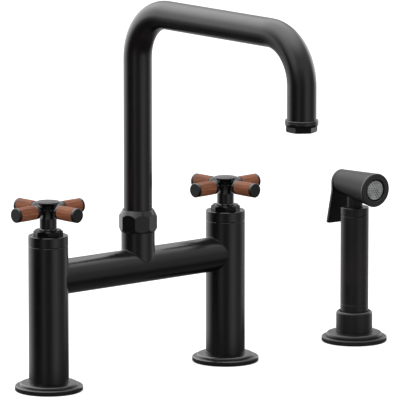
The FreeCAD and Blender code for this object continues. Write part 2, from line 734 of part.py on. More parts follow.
def outlet_collar():
    """Ring at the tube end, two fine grooves round it, with the thread that takes the aerator."""
    low = OUTLET_Z - OUTLET_COLLAR_H
    lip_z = low + AERATOR_THREAD_H + RUBBER_T / 2
    cut = OUTLET_COLLAR_GROOVE
    points = [
        (AERATOR_THREAD_R + FIT_GAP, low),
        (OUTLET_COLLAR_R - 0.9, low),
        (OUTLET_COLLAR_R, low + 1.5 * OUTLET_COLLAR_BEVEL),
    ]
    for share in (0.3, 0.6):
        z = OUTLET_Z - share * (OUTLET_COLLAR_H - 1.5 * OUTLET_COLLAR_BEVEL)
        points[3:3] = [(OUTLET_COLLAR_R, z - cut), (OUTLET_COLLAR_R - cut, z), (OUTLET_COLLAR_R, z + cut)]
    return turned(points + [
        (OUTLET_COLLAR_R, OUTLET_Z - EDGE),
        (OUTLET_COLLAR_R - EDGE, OUTLET_Z),
        (SPOUT_BORE_R - FIT_GAP, OUTLET_Z),
        (SPOUT_BORE_R - FIT_GAP, OUTLET_Z + OUTLET_SPIGOT),
        (AERATOR_BORE_R, OUTLET_Z + OUTLET_SPIGOT),
        (AERATOR_BORE_R, lip_z),
        (AERATOR_THREAD_R + FIT_GAP, lip_z),
    ])


def aerator_housing():
    """Hexagon foot with a threaded barrel."""
    top = OUTLET_Z - OUTLET_COLLAR_H
    low = top - AERATOR_H
    foot = nut_blank(6, AERATOR_CORNER_R, AERATOR_TURN, low, top,
                     AERATOR_CORNER_R - 0.9, 0.7, AERATOR_CORNER_R - 0.4, 0.4)
    body = foot.fuse(rod(AERATOR_THREAD_R, top, top + AERATOR_THREAD_H))
    body = body.cut(rod(AERATOR_BORE_R, low + AERATOR_LIP, top + AERATOR_THREAD_H + 1))
    return body.cut(rod(AERATOR_BORE_R - 0.6, low - 1, low + AERATOR_LIP + 1))


def aerator_screen():
    """Perforated stream former."""
    low = OUTLET_Z - OUTLET_COLLAR_H - AERATOR_H + AERATOR_LIP
    disc = rod(AERATOR_BORE_R - FIT_GAP, low, low + SCREEN_T)
    return disc.cut(hole_pattern(SCREEN_HOLE_R, SCREEN_PITCH, low - 1, low + SCREEN_T + 1))


def aerator_washer():
    low = OUTLET_Z - OUTLET_COLLAR_H + AERATOR_THREAD_H
    return ring(AERATOR_BORE_R, AERATOR_THREAD_R, low, low + RUBBER_T / 2)


# ---- Side spray -----------------------------------------------------------------------------
def spray_holder():
    """Deck collar that the spray stands in."""
    bore_r = HOLDER_R - HOLDER_WALL
    seat_z = SPRAY_FLANGE_H - FLANGE_COUNTERSINK
    return turned([
        (SPRAY_SHANK_TOP_R + FIT_GAP, seat_z),
        (HOLDER_R - EDGE, seat_z),
        (HOLDER_R, seat_z + EDGE),
        (HOLDER_R, HOLDER_TOP_Z - HOLDER_BEVEL),
        (HOLDER_R - 0.45 * HOLDER_BEVEL, HOLDER_TOP_Z - 0.35 * HOLDER_BEVEL, bore_r + 0.3, HOLDER_TOP_Z),
        (bore_r, HOLDER_TOP_Z),
        (bore_r, HOLDER_FLOOR_Z),
        (SPRAY_SHANK_TOP_R + FIT_GAP, HOLDER_FLOOR_Z),
    ])


def spray_liner():
    """Plastic cup inside the collar; its lip carries the spray and lets the hose through."""
    top = HOLDER_TOP_Z - LINER_SINK
    return turned([
        (CONNECTOR_R + 4 * AIR_GAP, HOLDER_FLOOR_Z),
        (LINER_OUT_R, HOLDER_FLOOR_Z),
        (LINER_OUT_R, top),
        (LINER_IN_R + EDGE, top),
        (LINER_IN_R, top - EDGE),
        (LINER_IN_R, LINER_LIP_Z),
        (CONNECTOR_R + 4 * AIR_GAP, LINER_LIP_Z),
    ])


def hose_connector():
    """Swivel end under the spray: spigot above, socket for the hose below."""
    flange_z = SPRAY_Z - FACE_GAP
    neck_z = flange_z - CONNECTOR_FLANGE_T
    low = neck_z - CONNECTOR_TAIL
    return turned([
        (HOSE_BORE_R, low),
        (CONNECTOR_TAIL_R - EDGE, low),
        (CONNECTOR_TAIL_R, low + EDGE),
        (CONNECTOR_TAIL_R, neck_z),
        (CONNECTOR_R, neck_z + (CONNECTOR_R - CONNECTOR_TAIL_R)),
        (CONNECTOR_R, flange_z),
        (CONNECTOR_SPIGOT_R, flange_z),
        (CONNECTOR_SPIGOT_R, CONNECTOR_TOP_Z - FACE_GAP - EDGE),
        (CONNECTOR_SPIGOT_R - EDGE, CONNECTOR_TOP_Z - FACE_GAP),
        (CONNECTOR_WATER_R, CONNECTOR_TOP_Z - FACE_GAP),
        (CONNECTOR_WATER_R, low + HOSE_BORE_DEPTH),
        (HOSE_BORE_R, low + HOSE_BORE_DEPTH),
    ])


def spray_lower_ring():
    """Bottom ring of the grip with the swivel bore and the socket of the neck tube."""
    return turned([
        (CONNECTOR_SPIGOT_R + RUN_GAP, SPRAY_Z),
        (GRIP_R - 2 * EDGE, SPRAY_Z),
        (GRIP_R, SPRAY_Z + 2 * EDGE),
        (GRIP_R, LOWER_RING_TOP_Z - EDGE),
        (GRIP_R - EDGE, LOWER_RING_TOP_Z),
        (GRIP_R - GRIP_WALL - FIT_GAP, LOWER_RING_TOP_Z),
        (GRIP_R - GRIP_WALL - FIT_GAP, LOWER_RING_TOP_Z + RING_SPIGOT),
        (NECK_R + FIT_GAP, LOWER_RING_TOP_Z + RING_SPIGOT),
        (NECK_R + FIT_GAP, CONNECTOR_TOP_Z),
        (CONNECTOR_SPIGOT_R + RUN_GAP, CONNECTOR_TOP_Z),
    ])


def spray_grip():
    return turned([
        (GRIP_R - GRIP_WALL, LOWER_RING_TOP_Z),
        (GRIP_R - EDGE, LOWER_RING_TOP_Z),
        (GRIP_R, LOWER_RING_TOP_Z + EDGE),
        (GRIP_R, UPPER_RING_Z - EDGE),
        (GRIP_R - EDGE, UPPER_RING_Z),
        (GRIP_R - GRIP_WALL, UPPER_RING_Z),
    ])


def spray_upper_ring():
    """Top ring of the grip around the neck."""
    return turned([
        (NECK_R + FIT_GAP, UPPER_RING_Z - RING_SPIGOT),
        (GRIP_R - GRIP_WALL - FIT_GAP, UPPER_RING_Z - RING_SPIGOT),
        (GRIP_R - GRIP_WALL - FIT_GAP, UPPER_RING_Z),
        (GRIP_R - EDGE, UPPER_RING_Z),
        (GRIP_R, UPPER_RING_Z + EDGE),
        (GRIP_R, GRIP_TOP_Z - EDGE),
        (GRIP_R - EDGE, GRIP_TOP_Z),
        (NECK_R + FIT_GAP, GRIP_TOP_Z),
    ])


def head_radius(at):
    return HEAD_REAR_R + (HEAD_FRONT_R - HEAD_REAR_R) * at / HEAD_LENGTH


def along_head(shape):
    """Put a piece turned about Z on the head axis, its base at the rear end of the head."""
    return moved(spun(shape, 90 + HEAD_DROOP, Vector(1, 0, 0)), 0, HEAD_REAR_Y, HEAD_REAR_Z)


def head_cone():
    return turned([
        (0, 0),
        (head_radius(0) - 0.6, 0),
        (head_radius(0.6), 0.6),
        (head_radius(HEAD_SHELL), HEAD_SHELL),
        (0, HEAD_SHELL),
    ])


def spray_neck():
    """Tube through the grip, its top coped to the underside of the head."""
    tube = ring(NECK_R - NECK_WALL, NECK_R, CONNECTOR_TOP_Z, HEAD_REAR_Z)
    return tube.cut(along_head(head_cone()))


def side_bar(points, half_width):
    """Bar across the head whose section is given by (Y, Z) points."""
    corners = [Vector(-half_width, y, z) for y, z in points]
    face = Part.Face(Part.makePolygon(corners + corners[:1]))
    return face.extrude(Vector(2 * half_width, 0, 0))


def stem_bore(radius, rear, front):
    return cylinder_along(radius, Vector(0, rear, STEM_Z), Vector(0, front, STEM_Z))


def spray_head():
    """Tapered head: nozzle bore, water cavity, trigger slot, stem bore and rear relief."""
    bores = turned([
        (0, HEAD_REAR_WALL),
        (HEAD_CAVITY_R, HEAD_REAR_WALL),
        (HEAD_CAVITY_R, HEAD_LENGTH - NOZZLE_BORE_DEPTH),
        (NOZZLE_BORE_R, HEAD_LENGTH - NOZZLE_BORE_DEPTH),
        (NOZZLE_BORE_R, HEAD_LENGTH),
        (0, HEAD_LENGTH),
    ])
    head = along_head(head_cone().cut(bores))
    head = head.cut(rod(NECK_R - NECK_WALL, GRIP_TOP_Z, HEAD_REAR_Z - 1))
    head = head.cut(stem_bore(STEM_R + RUN_GAP, HEAD_REAR_Y + 2, HEAD_REAR_Y - HEAD_REAR_WALL - 1))
    room = TONGUE_R + 1.0
    slot = side_bar([(PIVOT_Y - room + 0.2, PIVOT_Z - room), (HEAD_REAR_Y + 5, PIVOT_Z - room),
                     (HEAD_REAR_Y + 5, PIVOT_Z + room), (PIVOT_Y - room + 0.2, PIVOT_Z + room)],
                    TONGUE_W / 2 + AIR_GAP)
    fall = PIVOT_Z - GRIP_TOP_Z
    lean = math.tan(math.radians(TRIGGER_SWING + 1.5))
    rear = HEAD_REAR_Y - 0.1
    relief = side_bar([(rear, PIVOT_Z), (rear + 10, PIVOT_Z), (rear + 10, PIVOT_Z - fall),
                       (rear - lean * fall, PIVOT_Z - fall)], 2 * HEAD_REAR_R)
    pin_hole = cylinder_along(PIN_R + FIT_GAP, Vector(-PIN_BLIND, PIVOT_Y, PIVOT_Z),
                              Vector(2 * HEAD_REAR_R, PIVOT_Y, PIVOT_Z))
    return head.cut(slot).cut(relief).cut(pin_hole)


def face_ring():
    """Front ring of the head; a narrow gap runs between it and the spray face."""
    low = HEAD_LENGTH - NOZZLE_BORE_DEPTH + AIR_GAP
    front_r = head_radius(HEAD_LENGTH)
    return along_head(turned([
        (FACE_R + FIT_GAP, low),
        (NOZZLE_BORE_R - FIT_GAP, low),
        (NOZZLE_BORE_R - FIT_GAP, HEAD_SHELL),
        (head_radius(HEAD_SHELL), HEAD_SHELL),
        (front_r, HEAD_LENGTH - FACE_RING_ROUND),
        (front_r - 0.3 * FACE_RING_ROUND, HEAD_LENGTH - 0.3 * FACE_RING_ROUND,
         front_r - FACE_RING_ROUND, HEAD_LENGTH),
        (FACE_RING_MOUTH_R + 0.3, HEAD_LENGTH),
        (FACE_RING_MOUTH_R, HEAD_LENGTH - 0.3),
        (FACE_RING_MOUTH_R, HEAD_LENGTH - FACE_MOAT),
        (FACE_R + FIT_GAP, HEAD_LENGTH - FACE_MOAT),
    ]))


def spray_face():
    """Perforated spray face, a shallow cup that stands on the ledge in the head."""
    low = HEAD_LENGTH - NOZZLE_BORE_DEPTH
    top = HEAD_LENGTH - FACE_SINK
    cup = turned([
        (FACE_R - FACE_WALL, low),
        (FACE_R, low),
        (FACE_R, top - 0.3),
        (FACE_R - 0.3, top),
        (0, top),
        (0, top - FACE_T),
        (FACE_R - FACE_WALL, top - FACE_T),
    ])
    holes = hole_pattern(FACE_HOLE_R, FACE_PITCH, top - FACE_T - 1, top + 1, FACE_ROWS)
    return along_head(cup.cut(holes))


def trigger_pin():
    return cylinder_along(PIN_R, Vector(-PIN_BLIND, PIVOT_Y, PIVOT_Z), Vector(PIN_REACH, PIVOT_Y, PIVOT_Z))


def spray_trigger():
    """Arched plate behind the head that flares away from the grip, with its pivot tongue."""
    lean = math.tan(math.radians(TRIGGER_FLARE))
    skew = TRIGGER_T / math.cos(math.radians(TRIGGER_FLARE))
    foot_y = TRIGGER_Y + lean * (TRIGGER_BEND_Z - TRIGGER_FOOT_Z)
    top = HEAD_REAR_Z + TRIGGER_HALF_W
    rise = (skew - TRIGGER_T) / lean
    plate = side_bar([(TRIGGER_Y, top), (TRIGGER_Y, TRIGGER_BEND_Z), (foot_y, TRIGGER_FOOT_Z),
                      (foot_y + skew, TRIGGER_FOOT_Z), (TRIGGER_Y + TRIGGER_T, TRIGGER_BEND_Z + rise),
                      (TRIGGER_Y + TRIGGER_T, top)], TRIGGER_HALF_W)
    w = TRIGGER_HALF_W
    c = TRIGGER_CORNER_R
    k = c * (1 - math.sqrt(0.5))
    foot = TRIGGER_FOOT_Z
    outline = profile([
        (-w, HEAD_REAR_Z),
        (0, HEAD_REAR_Z + w, w, HEAD_REAR_Z),
        (w, foot + c),
        (w - k, foot + k, w - c, foot),
        (-w + c, foot),
        (-w + k, foot + k, -w, foot + c),
    ])
    outline.translate(Vector(0, HEAD_REAR_Y - 5, 0))
    plate = plate.common(outline.extrude(Vector(0, 40, 0)))
    half = TONGUE_W / 2
    tongue = side_bar([(PIVOT_Y, PIVOT_Z - TONGUE_R), (TRIGGER_Y + 1, PIVOT_Z - TONGUE_R),
                       (TRIGGER_Y + 1, PIVOT_Z + TONGUE_R), (PIVOT_Y, PIVOT_Z + TONGUE_R)], half)
    eye = cylinder_along(TONGUE_R, Vector(-half, PIVOT_Y, PIVOT_Z), Vector(half, PIVOT_Y, PIVOT_Z))
    hole = cylinder_along(PIN_R + RUN_GAP, Vector(-half - 1, PIVOT_Y, PIVOT_Z),
                          Vector(half + 1, PIVOT_Y, PIVOT_Z))
    return plate.fuse([tongue, eye]).removeSplitter().cut(hole)


def valve_stem():
    """Push stem with a domed tip behind the trigger and its seal head in the cavity."""
    seat = HEAD_REAR_Y - HEAD_REAR_WALL - 0.2
    length = TRIGGER_Y - AIR_GAP - seat
    stem = turned([
        (0, -STEM_HEAD_T),
        (STEM_HEAD_R, -STEM_HEAD_T),
        (STEM_HEAD_R, 0),
        (STEM_R, 0),
        (STEM_R, length - STEM_R),
        (STEM_R * math.sqrt(0.5), length - STEM_R * (1 - math.sqrt(0.5)), 0, length),
    ])
    return moved(spun(stem, -90, Vector(1, 0, 0)), 0, seat, STEM_Z)


# ---- The pieces, one file each -----------------------------------------------------------------
def at_spray(shape):
    return moved(spun(shape, SPRAY_TURN), SPRAY_X, SPRAY_Y)


def handle_pieces(side, x):
    return {
        side + "_handle_hub": moved(handle_hub(), x),
        side + "_handle_sleeves": moved(handle_sleeves(), x),
        side + "_handle_end_caps": moved(handle_end_caps(), x),
        side + "_handle_screw": moved(handle_screw(), x),
        side + "_handle_cap": moved(handle_cap(), x),
        side + "_spindle": moved(spindle(), x),
        side + "_moving_disc": moved(moving_disc(), x),
    }


def deck_pieces():
    shank_hole = SHANK_R + AIR_GAP
    flange = base_flange(COLUMN_R, shank_hole, COLUMN_FLANGE_H)
    half = COLUMN_SPACING / 2
    spray_hole = SPRAY_SHANK_R + AIR_GAP
    gaskets = [moved(deck_gasket(), -half), moved(deck_gasket(), half), at_spray(deck_gasket())]
    return {
        "left_base_flange": moved(flange, -half),
        "right_base_flange": moved(flange, half),
        "deck_gaskets": Part.makeCompound(gaskets),
        "supply_shanks": both_columns(supply_shank()),
        "shank_rubber_washers": both_columns(rubber_washer(shank_hole, WASHER_OUT_R)),
        "shank_steel_washers": both_columns(steel_washer(shank_hole, WASHER_OUT_R)),
        "shank_nuts": both_columns(mounting_nut(SHANK_R + FIT_GAP, NUT_CORNER_R)),
        "spray_base_flange": at_spray(base_flange(HOLDER_R, spray_hole, SPRAY_FLANGE_H)),
        "spray_shank": at_spray(spray_shank()),
        "spray_rubber_washer": at_spray(rubber_washer(spray_hole, SPRAY_WASHER_OUT_R)),
        "spray_steel_washer": at_spray(steel_washer(spray_hole, SPRAY_WASHER_OUT_R)),
        "spray_mounting_nut": at_spray(mounting_nut(SPRAY_SHANK_R + FIT_GAP, SPRAY_NUT_CORNER_R)),
    }


def body_pieces():
    half = COLUMN_SPACING / 2
    return {
        "left_column": column(1),
        "right_column": column(-1),
        "left_column_collar": moved(column_collar(), -half),
        "right_column_collar": moved(column_collar(), half),
        "cartridge_seals": both_columns(cartridge_seal()),
        "cartridge_bodies": both_columns(cartridge_body()),
        "cartridge_fixed_discs": both_columns(valve_disc(FIXED_DISC_Z, 0)),
        "bonnet_nuts": both_columns(bonnet_nut()),
        "bridge_tube": bridge_tube(),
        "spout_stub": spout_stub(),
        "spout_nut": spout_nut(),
        "spout_bearing": spout_bearing(),
    }


def spout_pieces():
    return {
        "spout_tube": spout_tube(),
        "spout_bushing": spout_bushing(),
        "spout_o_rings": spout_o_rings(),
        "outlet_collar": moved(outlet_collar(), 0, -SPOUT_REACH),
        "aerator_housing": moved(aerator_housing(), 0, -SPOUT_REACH),
        "aerator_screen": moved(aerator_screen(), 0, -SPOUT_REACH),
        "aerator_washer": moved(aerator_washer(), 0, -SPOUT_REACH),
    }


def spray_pieces():
    pieces = {
        "spray_holder": spray_holder(),
        "spray_liner": spray_liner(),
        "hose_connector": hose_connector(),
        "spray_lower_ring": spray_lower_ring(),
        "spray_grip": spray_grip(),
        "spray_upper_ring": spray_upper_ring(),
        "spray_neck": spray_neck(),
        "spray_head": spray_head(),
        "spray_face_ring": face_ring(),
        "spray_face": spray_face(),
        "trigger_pin": trigger_pin(),
        "spray_trigger": spray_trigger(),
        "valve_stem": valve_stem(),
    }
    return {name: at_spray(shape) for name, shape in pieces.items()}


pieces = {}
pieces.update(deck_pieces())
pieces.update(body_pieces())
pieces.update(spout_pieces())
pieces.update(handle_pieces("left", -COLUMN_SPACING / 2))
pieces.update(handle_pieces("right", COLUMN_SPACING / 2))
pieces.update(spray_pieces())

os.makedirs("parts", exist_ok=True)
for name, shape in pieces.items():
    shape.exportStep("parts/" + name + ".step")
    print(name, len(shape.Solids), "solid(s), valid", shape.isValid(), "volume", round(shape.Volume, 1))
print(len(pieces), "pieces")
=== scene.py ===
import math

import bmesh
import bpy
from mathutils import Matrix, Vector


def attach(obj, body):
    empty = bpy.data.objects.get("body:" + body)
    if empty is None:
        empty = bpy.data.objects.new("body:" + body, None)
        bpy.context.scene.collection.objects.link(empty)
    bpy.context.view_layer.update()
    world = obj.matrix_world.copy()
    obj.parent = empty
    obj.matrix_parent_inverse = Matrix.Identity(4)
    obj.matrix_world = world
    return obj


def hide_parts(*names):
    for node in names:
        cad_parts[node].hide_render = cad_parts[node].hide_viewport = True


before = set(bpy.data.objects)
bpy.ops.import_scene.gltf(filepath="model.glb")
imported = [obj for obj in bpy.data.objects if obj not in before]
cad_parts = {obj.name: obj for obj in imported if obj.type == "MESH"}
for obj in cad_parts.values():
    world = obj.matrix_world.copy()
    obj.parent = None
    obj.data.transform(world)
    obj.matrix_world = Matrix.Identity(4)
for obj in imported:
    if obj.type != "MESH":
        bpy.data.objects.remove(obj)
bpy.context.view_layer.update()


# Camera: a long lens from the front left, a little above the spout, as catalogue shots of taps
# are taken. It is level from side to side and looks down by ten degrees.
CAMERA_PLACE = (-2.9109, -3.6163, 0.9721)
CAMERA_HEADING = 39.515
CAMERA_DIP = 9.931
CAMERA_LENS = 475.19
lens = bpy.data.cameras.new("camera")
lens.lens, lens.sensor_width = CAMERA_LENS, 36.0
lens.clip_start, lens.clip_end = 0.1, 60.0
camera = bpy.data.objects.new("camera", lens)
bpy.context.scene.collection.objects.link(camera)
heading, dip = math.radians(CAMERA_HEADING), math.radians(CAMERA_DIP)
camera.location = CAMERA_PLACE
camera.rotation_euler = (math.pi / 2 - dip, 0, -heading)
bpy.context.scene.camera = camera
bpy.context.scene.view_settings.view_transform = "Standard"


# Studio: a white sweep behind the faucet, soft boxes overhead and behind it on both sides, pale
# walls and a dark floor. Its picture in the satin coat makes the soft upright bands.
def add(tree, kind, inputs=None, **settings):
    """Adds a node; each input is a number, a colour or another node's socket."""
    made = tree.nodes.new(kind)
    for name, value in settings.items():
        setattr(made, name, value)
    for name, value in (inputs or {}).items():
        if isinstance(value, bpy.types.NodeSocket):
            tree.links.new(value, made.inputs[name])
        else:
            made.inputs[name].default_value = value
    return made


def worked(tree, how, *values):
    """The result of a sum on one, two or three values."""
    return add(tree, "ShaderNodeMath", dict(enumerate(values)), operation=how).outputs[0]


def aligned(tree, first, second):
    """How nearly two directions agree."""
    return add(tree, "ShaderNodeVectorMath", {0: first, 1: second}, operation="DOT_PRODUCT").outputs["Value"]


def graded(tree, value, start, end, low=0.0, high=1.0, ease="LINEAR"):
    """Takes a value from its own span to another one."""
    span = {0: value, 1: start, 2: end, 3: low, 4: high}
    return add(tree, "ShaderNodeMapRange", span, interpolation_type=ease).outputs[0]


def eased(tree, value, start, end, low=0.0, high=1.0):
    return graded(tree, value, start, end, low, high, "SMOOTHSTEP")


def mixed(tree, share, first, second, blend="MIX"):
    """Two colours mixed by a share of the second."""
    colours = {0: share, 6: first, 7: second}
    return add(tree, "ShaderNodeMix", colours, data_type="RGBA", blend_type=blend).outputs[2]


def shaded(tree, value, stops):
    """A value turned into colour; a stop is a place and a grey or a colour."""
    ramp = add(tree, "ShaderNodeValToRGB", {0: value})
    band = ramp.color_ramp
    while len(band.elements) > 1:
        band.elements.remove(band.elements[-1])
    for i, (place, shade) in enumerate(stops):
        stop = band.elements[0] if i == 0 else band.elements.new(place)
        stop.position = place
        colour = (shade, shade, shade) if isinstance(shade, (int, float)) else shade
        stop.color = (*colour, 1.0)
    return ramp.outputs[0]


def mirror_rays(tree, path):
    return worked(tree, "MAXIMUM", path.outputs["Is Glossy Ray"], path.outputs["Is Transmission Ray"])


# Brightness of the walls at each bearing from the camera, in degrees.
ROUND_THE_ROOM = [(-180, 0.70), (-150, 0.66), (-128, 0.86), (-112, 0.66), (-98, 0.28), (-86, 0.08),
                  (-74, 0.02), (-60, 0.01), (-46, 0.04), (-34, 0.26), (-24, 0.46), (-15, 0.28),
                  (-6, 0.15), (8, 0.12), (18, 0.24), (28, 0.56), (38, 0.80), (50, 0.86), (60, 0.62),
                  (72, 0.42), (86, 0.26), (98, 0.30), (112, 0.58), (128, 0.92), (150, 0.74),
                  (180, 0.70)]
UPPER_WALLS = 0.77
GROUND, GROUND_BEHIND = 0.05, 0.50
# Where one zone fades into the next, as the sine of the height or, behind, the cosine from the lens.
WALL_FADE, GROUND_FADE, BEHIND_FADE, BOX_FADE = (0.0, 0.57), (-0.22, -0.53), (-0.45, -0.85), (-0.27, 0.0)
# Each soft box: its bearing from the camera and its height in degrees, the cosine of the angle
# out to its faded rim and in to its even middle, and how bright it is.
SOFT_BOXES = [(-136, 75, 0.45, 1.00, 3.2), (-126, 6, 0.66, 0.99, 1.8), (-50, 26, 0.86, 0.99, 0.8),
              (138, 10, 0.88, 0.99, 1.6)]
# Light on dull surfaces from straight below (0) to straight above (1).
DULL_LIGHT = [(0.0, 0.30), (0.45, 0.40), (0.6, 0.66), (1.0, 1.05)]
world = bpy.data.worlds.new("studio")
bpy.context.scene.world = world
world.use_nodes = True
room = world.node_tree
room.nodes.clear()
way = add(room, "ShaderNodeTexCoord").outputs["Generated"]
toward = Vector((-math.sin(heading), -math.cos(heading), 0))
aside = Vector((math.cos(heading), -math.sin(heading), 0))
near, side = aligned(room, way, toward), aligned(room, way, aside)
height = add(room, "ShaderNodeSeparateXYZ", {0: way}).outputs["Z"]
around = graded(room, worked(room, "ARCTAN2", side, near), -math.pi, math.pi)
walls = shaded(room, around, [((bearing + 180) / 360, level) for bearing, level in ROUND_THE_ROOM])
upper = mixed(room, eased(room, height, *WALL_FADE), walls, (UPPER_WALLS,) * 3 + (1,))
ground = eased(room, near, *BEHIND_FADE, GROUND, GROUND_BEHIND)
light = mixed(room, eased(room, height, *GROUND_FADE), upper, ground)
raised = eased(room, height, *BOX_FADE)
for bearing, rise, rim, core, brightness in SOFT_BOXES:
    out, up = math.radians(bearing), math.radians(rise)
    level_aim = toward * math.cos(out) + aside * math.sin(out)
    aim = level_aim * math.cos(up) + Vector((0, 0, math.sin(up)))
    patch = eased(room, aligned(room, way, aim), rim, core, 0.0, brightness)
    shone = worked(room, "MULTIPLY", patch, raised)
    light = add(room, "ShaderNodeVectorMath", {0: light, 1: shone}, operation="ADD").outputs[0]
dull = shaded(room, graded(room, height, -1, 1), DULL_LIGHT)
path = add(room, "ShaderNodeLightPath")
lit = mixed(room, mirror_rays(room, path), dull, light)
seen = mixed(room, path.outputs["Is Camera Ray"], lit, (1, 1, 1, 1))
air = add(room, "ShaderNodeBackground", {"Color": seen, "Strength": 1.0})
add(room, "ShaderNodeOutputWorld", {"Surface": air.outputs[0]})

# Each lamp: its name, place, width in metres and power in watts.
LAMPS = [("ceiling_light", (-0.5, -0.4, 2.3), 1.6, 16.0), ("front_light", (-1.9, -1.2, 1.3), 1.2, 9.0)]
LAMP_TARGET = Vector((0.05, -0.05, 0.15))
for name, place, width, watts in LAMPS:
    lamp = bpy.data.lights.new(name, "AREA")
    lamp.size, lamp.energy = width, watts
    lamp_object = bpy.data.objects.new(name, lamp)
    bpy.context.scene.collection.objects.link(lamp_object)
    lamp_object.location = place
    lamp_object.rotation_mode = "QUATERNION"
    lamp_object.rotation_quaternion = (Vector(place) - LAMP_TARGET).to_track_quat("Z", "Y")
    lamp_object.visible_glossy = False


# Floor: a plain pale sheet that the flanges stand on. It keeps a faint contact shadow, and the
# camera sees the rest of it as white as the sweep. In reflections it hides what hangs below it
# behind a painted reflection, a dim grey glow round the hardware.
FLOOR_HALF, FLOOR_LEVEL = 9.0, -0.0001
FLOOR_GREY, FLOOR_GLOW = 0.8, 0.5
# The painted reflection that hides the shanks, a dim grey strip, runs between the outer two
# flanges and fades out round them.
STRIP_MIDDLE_X, STRIP_REACH_X = 0.0754, 0.177
STRIP_FADE, PAINTED_REFLECTION_GREY = (0.03, 0.14), 0.14
sheet = bmesh.new()
bmesh.ops.create_grid(sheet, x_segments=1, y_segments=1, size=FLOOR_HALF)
bmesh.ops.translate(sheet, verts=sheet.verts, vec=(0, 0, FLOOR_LEVEL))
floor_mesh = bpy.data.meshes.new("floor")
sheet.to_mesh(floor_mesh)
sheet.free()
floor = bpy.data.objects.new("floor", floor_mesh)
bpy.context.scene.collection.objects.link(floor)
floor_paint = bpy.data.materials.new("pale_floor")
floor_paint.use_nodes = True
tree = floor_paint.node_tree
tree.nodes.clear()
path = add(tree, "ShaderNodeLightPath")
paper = add(tree, "ShaderNodeBsdfDiffuse", {"Color": (FLOOR_GREY,) * 3 + (1,)})
glow = add(tree, "ShaderNodeEmission", {"Color": (1, 1, 1, 1), "Strength": FLOOR_GLOW})
dark = add(tree, "ShaderNodeEmission", {"Color": (0, 0, 0, 1), "Strength": 0.0})
clear = add(tree, "ShaderNodeBsdfTransparent", {"Color": (1, 1, 1, 1)})
lift = add(tree, "ShaderNodeMixShader",
           {0: path.outputs["Is Camera Ray"], 1: dark.outputs[0], 2: glow.outputs[0]})
white = add(tree, "ShaderNodeAddShader", {0: paper.outputs[0], 1: lift.outputs[0]})
spot = add(tree, "ShaderNodeSeparateXYZ", {0: add(tree, "ShaderNodeTexCoord").outputs["Object"]})
off_middle = worked(tree, "ABSOLUTE", worked(tree, "SUBTRACT", spot.outputs["X"], STRIP_MIDDLE_X))
off_end = worked(tree, "MAXIMUM", worked(tree, "SUBTRACT", off_middle, STRIP_REACH_X), 0.0)
apart = add(tree, "ShaderNodeCombineXYZ", {0: off_end, 1: spot.outputs["Y"]}).outputs[0]
far = add(tree, "ShaderNodeVectorMath", {0: apart}, operation="LENGTH").outputs["Value"]
close = eased(tree, far, *STRIP_FADE, 1.0, 0.0)
# Painted reflection: mirror rays near the hardware see this dim grey glow, not the shanks below.
painted_reflection_strip = add(tree, "ShaderNodeEmission", {"Color": (PAINTED_REFLECTION_GREY,) * 3 + (1,), "Strength": 1.0})
below = add(tree, "ShaderNodeMixShader", {0: close, 1: clear.outputs[0], 2: painted_reflection_strip.outputs[0]})
both = add(tree, "ShaderNodeMixShader",
           {0: mirror_rays(tree, path), 1: white.outputs[0], 2: below.outputs[0]})
add(tree, "ShaderNodeOutputMaterial", {"Surface": both.outputs[0]})
floor_mesh.materials.append(floor_paint)


# Base flanges: three turned brass discs with a rounded step, coated satin black. They hide the
# deck holes, and the column feet and the spray holder sit in their recesses.
def dress(names, finish):
    """Gives CAD nodes their finish."""
    for name in names:
        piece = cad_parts[name]
        if not piece.material_slots:
            piece.data.materials.append(finish)
        for place in piece.material_slots:
            place.material = finish


def blank_finish(name):
    """A new material, its empty node tree and the place on the piece."""
    finish = bpy.data.materials.new(name)
    finish.use_nodes = True
    tree = finish.node_tree
    tree.nodes.clear()
    return finish, tree, add(tree, "ShaderNodeTexCoord").outputs["Object"]


def mottled(tree, spot, scale, detail, roughness=0.5, distortion=0.0):
    noise = {"Vector": spot, "Scale": scale, "Detail": detail, "Roughness": roughness,
             "Distortion": distortion}
    return add(tree, "ShaderNodeTexNoise", noise).outputs[0]


def raised_by(tree, height, strength, distance, normal=None):
    """The surface's direction, bent by a height."""
    relief = {"Height": height, "Strength": strength, "Distance": distance}
    if normal is not None:
        relief["Normal"] = normal
    return add(tree, "ShaderNodeBump", relief).outputs[0]


def surfaced(tree, colour, roughness, normal, more=None):
    """Closes a finish; more holds its other settings by their names."""
    look = {"Base Color": colour, "Roughness": roughness, "Normal": normal}
    skin = add(tree, "ShaderNodeBsdfPrincipled", look | (more or {}))
    add(tree, "ShaderNodeOutputMaterial", {"Surface": skin.outputs[0]})


WORN_COAT = (0.032, 0.031, 0.030, 1)


def satin_black(name, tone=0.0028, gloss=0.23, shine=0.5, grain=0.03, edge=0.00012, worn=0.10, warm=0.12):
    """Black electro coat on polished brass: fine grain, faint clouds, thin paler edges."""
    finish, tree, spot = blank_finish(name)
    cloud = mottled(tree, spot, scale=46.0, detail=4.0, roughness=0.6)
    speck = mottled(tree, spot, scale=2600.0, detail=2.0)
    soft = add(tree, "ShaderNodeBevel", {"Radius": edge}, samples=6).outputs[0]
    sharp = add(tree, "ShaderNodeNewGeometry").outputs["Normal"]
    rub = graded(tree, aligned(tree, soft, sharp), 0.999, 0.90, 0.0, worn)
    shade = shaded(tree, cloud, [(0.3, (tone * 0.82, tone * 0.80, tone * 0.82)),
                                 (0.7, (tone * (1.2 + warm), tone * (1.2 - warm), tone * 1.2))])
    dust = graded(tree, speck, 0.62, 0.78, 0.0, 0.35)
    dotted = mixed(tree, dust, shade, (tone * 2.2,) * 3 + (1,))
    colour = mixed(tree, worked(tree, "MULTIPLY", rub, cloud), dotted, WORN_COAT)
    satin = graded(tree, cloud, 0.3, 0.7, gloss - 0.02, gloss + 0.03)
    surfaced(tree, colour, satin, raised_by(tree, speck, grain, 0.0001, soft), {"Specular IOR Level": shine})
    return finish


dress(["left_base_flange", "right_base_flange"], satin_black("flange_black", gloss=0.27))


